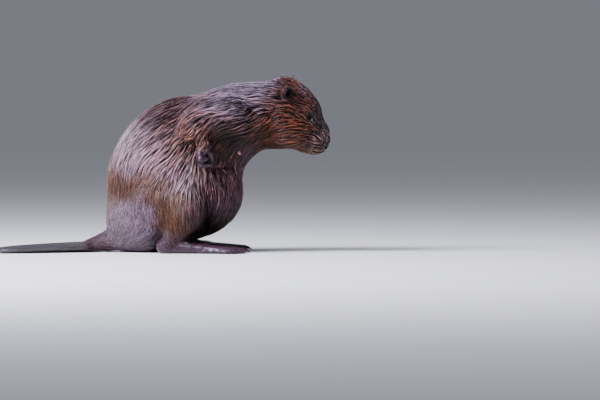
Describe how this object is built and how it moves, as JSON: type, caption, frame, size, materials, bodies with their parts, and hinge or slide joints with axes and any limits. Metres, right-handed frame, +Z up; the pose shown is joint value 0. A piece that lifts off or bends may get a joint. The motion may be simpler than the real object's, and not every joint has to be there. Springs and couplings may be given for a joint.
{
  "type": "beaver",
  "caption": "Life-size beaver sitting up on its haunches with bowed head, one forepaw held to each side of the chest and a flat scaly tail.",
  "frame": {"origin": "under the rump, on the plane that the seat, hind feet and tail rest on", "axes": "+X towards the nose, +Y towards the animal's left side, +Z up"},
  "size_m": [0.6936, 0.3006, 0.369],
  "materials": {
    "coat": "wet guard hair",
    "skin": "bare damp skin",
    "scales": "scaly hide",
    "eye": "wet gloss"
  },
  "bodies": {
    "root": {"trunk": "coat", "neck": "coat", "head": "coat", "nose": "skin", "tail_root": "coat", "tail": "scales", "hindleg_left": "coat", "hindleg_right": "coat", "hindfoot_left": "skin", "hindfoot_right": "skin", "foreleg_left": "coat", "foreleg_right": "coat", "forepaw_left": "skin", "forepaw_right": "skin", "ear_left": "coat", "ear_right": "coat", "eye_left": "eye", "eye_right": "eye"}
  },
  "joints": []
}
